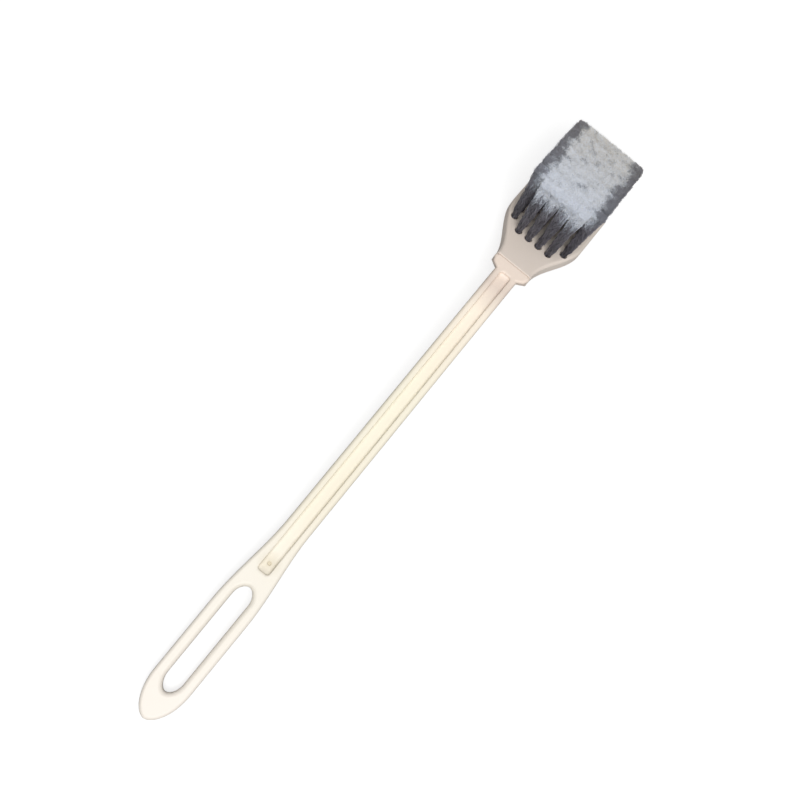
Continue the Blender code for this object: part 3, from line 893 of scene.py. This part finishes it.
def grown_strands(tree, given, path, curve_of, is_flag):
    """The filaments of a tuft, or the flags that they split into, as lines in their places and with
    their thickness. Also each point's share of its filament's length, and that filament's end."""
    filament = curve_of
    if is_flag:
        quotient = add_node(tree, "ShaderNodeMath", [curve_of, given["Flags"]], operation="DIVIDE")
        filament = add_node(
            tree, "ShaderNodeMath", [quotient.outputs[0]], operation="FLOOR"
        ).outputs[0]
    least, most = FLAG_LENGTH_SHARES
    own_length = add_node(
        tree,
        "FunctionNodeRandomValue",
        {2: least, 3: most, "ID": filament, "Seed": given["Seed"]},
        data_type="FLOAT",
    )
    split = add_node(
        tree, "ShaderNodeMath", [own_length.outputs[1], given["Flag Share"]], operation="MULTIPLY"
    )
    split_at = add_node(
        tree, "ShaderNodeMath", [1.0, split.outputs[0]], operation="SUBTRACT"
    ).outputs[0]
    if is_flag:
        count = add_node(
            tree, "ShaderNodeMath", [given["Filaments"], given["Flags"]], operation="MULTIPLY"
        ).outputs[0]
        lines, factor, along = unplaced_lines(tree, count, FLAG_POINTS, split_at, 1.0)
        radius = given["Flag Radius"]
    else:
        count = given["Filaments"]
        stem_end = add_node(
            tree, "ShaderNodeMath", [split_at, SPLIT_OVERLAP], operation="ADD"
        ).outputs[0]
        lines, factor, along = unplaced_lines(tree, count, FILAMENT_POINTS, 0.0, stem_end)
        radius = given["Filament Radius"]
    passed_on = ("Root", "Root Radius", "Tip", "Tip Half Size", "Round Corner", "Seed")
    place, tip = add_node(
        tree,
        "GeometryNodeGroup",
        {"Filament": filament, "Along": along, **{name: given[name] for name in passed_on}},
        node_tree=path,
    ).outputs
    if is_flag:
        least, most = FLAG_SPLAY_RANGE
        outwards = add_node(
            tree,
            "FunctionNodeRandomValue",
            {0: least, 1: most, "ID": curve_of, "Seed": given["Seed"]},
            data_type="FLOAT_VECTOR",
        )
        opening = add_node(tree, "ShaderNodeMath", [factor, FLAG_SPLAY_CURVE], operation="POWER")
        reach = add_node(
            tree, "ShaderNodeMath", [opening.outputs[0], given["Flag Splay"]], operation="MULTIPLY"
        )
        splay = add_node(
            tree,
            "ShaderNodeVectorMath",
            {0: outwards.outputs[0], "Scale": reach.outputs[0]},
            operation="SCALE",
        )
        place = add_node(
            tree, "ShaderNodeVectorMath", [place, splay.outputs[0]], operation="ADD"
        ).outputs[0]
    placed = add_node(tree, "GeometryNodeSetPosition", {"Geometry": lines, "Position": place})
    taper = add_node(
        tree,
        "ShaderNodeMapRange",
        {"Value": factor, "From Min": TAPER_START, "To Min": 1.0, "To Max": TAPERED_WIDTH},
    )
    width = add_node(tree, "ShaderNodeMath", [taper.outputs[0], radius], operation="MULTIPLY")
    sized = add_node(
        tree,
        "GeometryNodeSetCurveRadius",
        {"Curve": placed.outputs[0], "Radius": width.outputs[0]},
    )
    return sized.outputs[0], along, tip


def strand_colour(tree, given, along, tip):
    """How far along the map's shades each point of a strand is: from its shaft's first shade to the
    shaft's last where it turns pale, and on from there as far as its own pale end goes."""
    pale, strength, shade = pale_end(tree, given, tip)
    turns = add_node(tree, "ShaderNodeMath", [1.0, pale], operation="SUBTRACT").outputs[0]
    below = add_node(
        tree,
        "ShaderNodeMapRange",
        {"Value": along, "From Max": turns, "To Min": shade, "To Max": SHAFT_SHARE},
    )
    above = add_node(
        tree, "ShaderNodeMapRange", {"Value": along, "From Min": turns, "To Max": strength}
    )
    return add_node(
        tree, "ShaderNodeMath", [below.outputs[0], above.outputs[0]], operation="ADD"
    ).outputs[0]


def strand_tone(tree, given, curve_of, tip):
    """The number of a strand's tone: its own by chance, plus painted shade that turns the tones darker
    and warmer towards the far end.
    """
    own = add_node(
        tree,
        "FunctionNodeRandomValue",
        {2: 0.0, 3: TONE_SPAN, "ID": curve_of, "Seed": given["Seed"]},
        data_type="FLOAT",
    )
    away = add_node(tree, "ShaderNodeSeparateXYZ", [tip]).outputs[1]
    # Painted shade: the further back a tuft's tip, the darker and warmer its tone
    far = add_node(
        tree,
        "ShaderNodeMapRange",
        {
            "Value": away,
            "From Min": given["Block Front"],
            "From Max": given["Block Far"],
            "To Max": TONE_SPAN,
        },
    )
    summed = add_node(tree, "ShaderNodeMath", [own.outputs[1], far.outputs[0]], operation="ADD")
    return add_node(tree, "ShaderNodeMath", [summed.outputs[0]], operation="FLOOR").outputs[0]


def mapped_tubes(tree, lines):
    """Thin tubes along the lines. The colour map's u is a point's colour, and its v is the strand's
    tone and the way round the tube, so each tone has a strip of the map to itself."""
    ring = add_node(
        tree, "GeometryNodeCurvePrimitiveCircle", {"Resolution": STRAND_SIDES, "Radius": 1.0}
    )
    corner = add_node(tree, "GeometryNodeInputIndex")
    way_round = add_node(
        tree, "ShaderNodeMath", [corner.outputs[0], float(STRAND_SIDES)], operation="DIVIDE"
    )
    profile = add_node(
        tree,
        "GeometryNodeStoreNamedAttribute",
        {"Geometry": ring.outputs[0], "Name": "round", "Value": way_round.outputs[0]},
        data_type="FLOAT",
        domain="POINT",
    )
    thickness = add_node(tree, "GeometryNodeInputRadius")
    tubes = add_node(
        tree,
        "GeometryNodeCurveToMesh",
        {
            "Curve": lines,
            "Profile Curve": profile.outputs[0],
            "Scale": thickness.outputs[0],
            "Fill Caps": True,
        },
    )
    stored = {}
    for name in ("colour", "tone", "round"):
        stored[name] = add_node(
            tree, "GeometryNodeInputNamedAttribute", {"Name": name}, data_type="FLOAT"
        ).outputs[0]
    strip = add_node(tree, "ShaderNodeMath", [stored["tone"], stored["round"]], operation="ADD")
    up = add_node(tree, "ShaderNodeMath", [strip.outputs[0], TONES], operation="DIVIDE")
    spot = add_node(tree, "ShaderNodeCombineXYZ", [stored["colour"], up.outputs[0], 0.0])
    return add_node(
        tree,
        "GeometryNodeStoreNamedAttribute",
        {"Geometry": tubes.outputs[0], "Name": COLOUR_MAP, "Value": spot.outputs[0]},
        data_type="FLOAT2",
        domain="CORNER",
    ).outputs[0]


def bristle_tuft():
    """The tree for one tuft: its filaments and the flags that they split into, as tubes."""
    tree = bpy.data.node_groups.new("bristle_tuft", "GeometryNodeTree")
    inputs = {
        "Root": "Vector",
        "Root Radius": "Float",
        "Tip": "Vector",
        "Tip Half Size": "Vector",
        "Round Corner": "Vector",
        "Filaments": "Int",
        "Filament Radius": "Float",
        "Flags": "Int",
        "Flag Radius": "Float",
        "Flag Share": "Float",
        "Flag Splay": "Float",
        "Pale Share": "Float",
        "Block Half Width": "Float",
        "Block Front": "Float",
        "Block Far": "Float",
        "Worn Width": "Float",
        "Seed": "Int",
        "Material": "Material",
    }
    add_sockets(tree, "INPUT", inputs)
    add_sockets(tree, "OUTPUT", {"Geometry": "Geometry"})
    given = add_node(tree, "NodeGroupInput").outputs
    path = filament_path()
    curve_of = add_node(tree, "GeometryNodeCurveOfPoint").outputs["Curve Index"]
    joined = add_node(tree, "GeometryNodeJoinGeometry")
    for is_flag in (False, True):
        lines, along, tip = grown_strands(tree, given, path, curve_of, is_flag)
        colour = strand_colour(tree, given, along, tip)
        tone = strand_tone(tree, given, curve_of, tip)
        coloured = add_node(
            tree,
            "GeometryNodeStoreNamedAttribute",
            {"Geometry": lines, "Name": "colour", "Value": colour},
            data_type="FLOAT",
            domain="POINT",
        )
        toned = add_node(
            tree,
            "GeometryNodeStoreNamedAttribute",
            {"Geometry": coloured.outputs[0], "Name": "tone", "Value": tone},
            data_type="FLOAT",
            domain="CURVE",
        )
        tree.links.new(toned.outputs[0], joined.inputs[0])
    real = add_node(tree, "GeometryNodeRealizeInstances", [mapped_tubes(tree, joined.outputs[0])])
    dressed = add_node(
        tree,
        "GeometryNodeSetMaterial",
        {"Geometry": real.outputs[0], "Material": given["Material"]},
    )
    add_node(tree, "NodeGroupOutput", [dressed.outputs[0]])
    return tree


def extruded_filament():
    """Extruded polypropylene filament with a soft gloss: dark grey along its shaft, and pale grey with
    a cold tinge where the split ends scatter the light. Strips of the map hold strands of other tones,
    which turn darker and warmer towards the far end as painted shade."""
    material = bpy.data.materials.new("dark_polypropylene_filament_extruded")
    material.use_nodes = True
    tree = material.node_tree
    shader = tree.nodes["Principled BSDF"]
    shader.inputs["Roughness"].default_value = FILAMENT_ROUGHNESS
    shader.inputs["IOR"].default_value = FILAMENT_IOR
    spot = add_node(tree, "ShaderNodeUVMap", uv_map=COLOUR_MAP)
    sides = add_node(tree, "ShaderNodeSeparateXYZ", [spot.outputs[0]]).outputs
    shades = add_node(tree, "ShaderNodeValToRGB", [sides[0]])
    fill_ramp(shades.color_ramp, FILAMENT_SHADES)
    wide = add_node(tree, "ShaderNodeMath", [sides[1], TONES], operation="MULTIPLY")
    strip = add_node(tree, "ShaderNodeMath", [wide.outputs[0]], operation="FLOOR")
    share = add_node(tree, "ShaderNodeMath", [strip.outputs[0], TONES - 1], operation="DIVIDE")
    tones = add_node(tree, "ShaderNodeValToRGB", [share.outputs[0]])
    fill_ramp(tones.color_ramp, STRAND_TONES_AND_FAR_SHADE)
    shown = add_node(
        tree,
        "ShaderNodeMix",
        {0: 1.0, 6: shades.outputs[0], 7: tones.outputs[0]},
        data_type="RGBA",
        blend_type="MULTIPLY",
    )
    tree.links.new(shown.outputs[2], shader.inputs["Base Color"])
    return material


tuft_tree = bristle_tuft()
filament_material = extruded_filament()
on_head = to_handle @ to_head()
middle = first_row + (TUFT_ROWS - 1) / 2 * TUFT_PITCH
sockets = {item.name: item.identifier for item in tuft_tree.interface.items_tree}
for number, (row, column, place) in enumerate(tuft_places()):
    back = (row - 1) / (TUFT_ROWS - 1)
    spread = SPREAD_ACROSS + (FAR_SPREAD_ACROSS - SPREAD_ACROSS) * back
    tip = Vector((place.x * spread, middle + (place.y - middle) * SPREAD_ALONG))
    round_corner = (0.0, 0.0, 0.0)
    if column in (1, TUFT_COLUMNS):
        if row == FIRST_FULL_ROW:
            tip.y -= CORNER_LEAN
        if row == TUFT_ROWS:
            round_corner = (math.copysign(1.0, place.x), 1.0, 0.0)
    sizes = {
        "Root": (place.x, place.y, HALF_THICKNESS - ROOT_DEPTH),
        "Root Radius": TUFT_DIAMETER / 2 - FILAMENT_RADIUS,
        "Tip": (tip.x, tip.y, HALF_THICKNESS + BRISTLE_LENGTH),
        "Tip Half Size": (TUFT_PITCH / 2 * spread, TUFT_PITCH / 2 * SPREAD_ALONG, 0.0),
        "Round Corner": round_corner,
        "Filaments": FILAMENTS,
        "Filament Radius": FILAMENT_RADIUS,
        "Flags": FLAGS,
        "Flag Radius": FLAG_RADIUS,
        "Flag Share": FLAG_LENGTH / BRISTLE_LENGTH,
        "Flag Splay": FLAG_SPLAY,
        "Pale Share": PALE_LENGTH / BRISTLE_LENGTH,
        "Block Half Width": TUFT_COLUMNS / 2 * TUFT_PITCH * SPREAD_ACROSS,
        "Block Front": middle - TUFT_ROWS / 2 * TUFT_PITCH * SPREAD_ALONG,
        "Block Far": middle + TUFT_ROWS / 2 * TUFT_PITCH * SPREAD_ALONG,
        "Worn Width": WORN_WIDTH,
        "Seed": number,
        "Material": filament_material,
    }
    name = f"bristles_r{row}_c{column}"
    maker = bpy.data.objects.new(name + "_maker", bpy.data.meshes.new(name + "_maker"))
    bpy.context.scene.collection.objects.link(maker)
    grown = maker.modifiers.new("tuft", "NODES")
    grown.node_group = tuft_tree
    for title, value in sizes.items():
        grown[sockets[title]] = value
    depsgraph = bpy.context.evaluated_depsgraph_get()
    mesh = bpy.data.meshes.new_from_object(maker.evaluated_get(depsgraph))
    bpy.data.objects.remove(maker)
    mesh.transform(on_head)
    tuft = bpy.data.objects.new(name, mesh)
    bpy.context.scene.collection.objects.link(tuft)
    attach(tuft, "root")
    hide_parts(f"tuft_r{row}_c{column}")


# The table: a sheet of pale matt laminate that the brush lies on. What the camera sees of it is
# lifted to white, and the shadow of the brush stays.
TABLE_SIZE = 6.0
TABLE_COLOUR = "ACACAC"
TABLE_ROUGHNESS = 0.9
TABLE_GLOW = 0.7


def matt_laminate():
    """Pale laminate with a dead matt face, so that nothing on it shines beside the brush."""
    material = bpy.data.materials.new("white_laminate_matt")
    material.use_nodes = True
    tree = material.node_tree
    shader = tree.nodes["Principled BSDF"]
    shader.inputs["Base Color"].default_value = to_linear(TABLE_COLOUR)
    shader.inputs["Roughness"].default_value = TABLE_ROUGHNESS
    shader.inputs["Specular IOR Level"].default_value = 0.0
    seen = add_node(tree, "ShaderNodeLightPath").outputs["Is Camera Ray"]
    glow = add_node(tree, "ShaderNodeMath", [seen, TABLE_GLOW], operation="MULTIPLY")
    shader.inputs["Emission Color"].default_value = to_linear("FFFFFF")
    tree.links.new(glow.outputs[0], shader.inputs["Emission Strength"])
    return material


sheet = bmesh.new()
bmesh.ops.create_grid(sheet, x_segments=1, y_segments=1, size=TABLE_SIZE / 2)
table = new_object("table", sheet)
table.data.materials.append(matt_laminate())


# The light: one large square lamp hangs high, a little past the handle's end and to the right, so the
# head's plate, which leans away from it, is darker than the stem. The room adds a faint light, most
# of it from above, so every steep edge has a thin dark outline.
LAMP_PLACE = (0.55, -1.1, 3.1)
LAMP_SIZE = 1.8
LAMP_POWER = 76.0
ROOM_LIGHT = 0.06
ROOM_BRIGHTENS = (0.12, 0.0, 0.54)

lamp_data = bpy.data.lights.new("key_lamp", "AREA")
lamp_data.size = LAMP_SIZE
lamp_data.energy = LAMP_POWER
lamp = bpy.data.objects.new("key_lamp", lamp_data)
lamp.location = LAMP_PLACE
lamp.rotation_euler = (-Vector(LAMP_PLACE)).to_track_quat("-Z", "Y").to_euler()
bpy.context.scene.collection.objects.link(lamp)

world = bpy.data.worlds.new("pale_room")
bpy.context.scene.world = world
world.use_nodes = True
room = world.node_tree
seen_by_camera = add_node(room, "ShaderNodeLightPath").outputs["Is Camera Ray"]
direction = add_node(room, "ShaderNodeTexCoord").outputs["Generated"]
higher = add_node(
    room, "ShaderNodeVectorMath", [direction, ROOM_BRIGHTENS], operation="DOT_PRODUCT"
)
even = add_node(room, "ShaderNodeMath", [higher.outputs[1], ROOM_LIGHT], operation="ADD")
glow = add_node(room, "ShaderNodeMath", [even.outputs[0], 0.0], operation="MAXIMUM")
strength = add_node(
    room,
    "ShaderNodeMapRange",
    {"Value": seen_by_camera, "To Min": glow.outputs[0], "To Max": 1.0},
)
air = room.nodes["Background"]
air.inputs["Color"].default_value = to_linear("FFFFFF")
room.links.new(strength.outputs[0], air.inputs["Strength"])


# The camera: nearly a metre above the brush, leaning towards the handle's end and a little to the
# right. The brush lies across the picture, with its head at the upper right.
CAMERA_DISTANCE = 0.9
CAMERA_LEAN = math.radians(13.0)
CAMERA_SIDE = math.radians(1.4)
LOOKED_AT = (-0.0017, 0.0, 0.02)
BRUSH_TURN = math.radians(39.5)
PIXELS_ACROSS = 800
FOCAL_PIXELS = 1637.3
LEFT_PIXELS = 18.7
DOWN_PIXELS = 22.6
SENSOR_WIDTH = 36.0

camera_data = bpy.data.cameras.new("camera")
camera_data.sensor_width = SENSOR_WIDTH
camera_data.lens = SENSOR_WIDTH * FOCAL_PIXELS / PIXELS_ACROSS
camera_data.shift_x = LEFT_PIXELS / PIXELS_ACROSS
camera_data.shift_y = DOWN_PIXELS / PIXELS_ACROSS
camera = bpy.data.objects.new("camera", camera_data)
camera.matrix_world = (
    Matrix.Translation(LOOKED_AT)
    @ Matrix.Rotation(CAMERA_SIDE, 4, "Y")
    @ Matrix.Rotation(CAMERA_LEAN, 4, "X")
    @ Matrix.Rotation(BRUSH_TURN, 4, "Z")
    @ Matrix.Translation((0.0, 0.0, CAMERA_DISTANCE))
)
bpy.context.scene.collection.objects.link(camera)
bpy.context.scene.camera = camera
bpy.context.scene.view_settings.view_transform = "Standard"
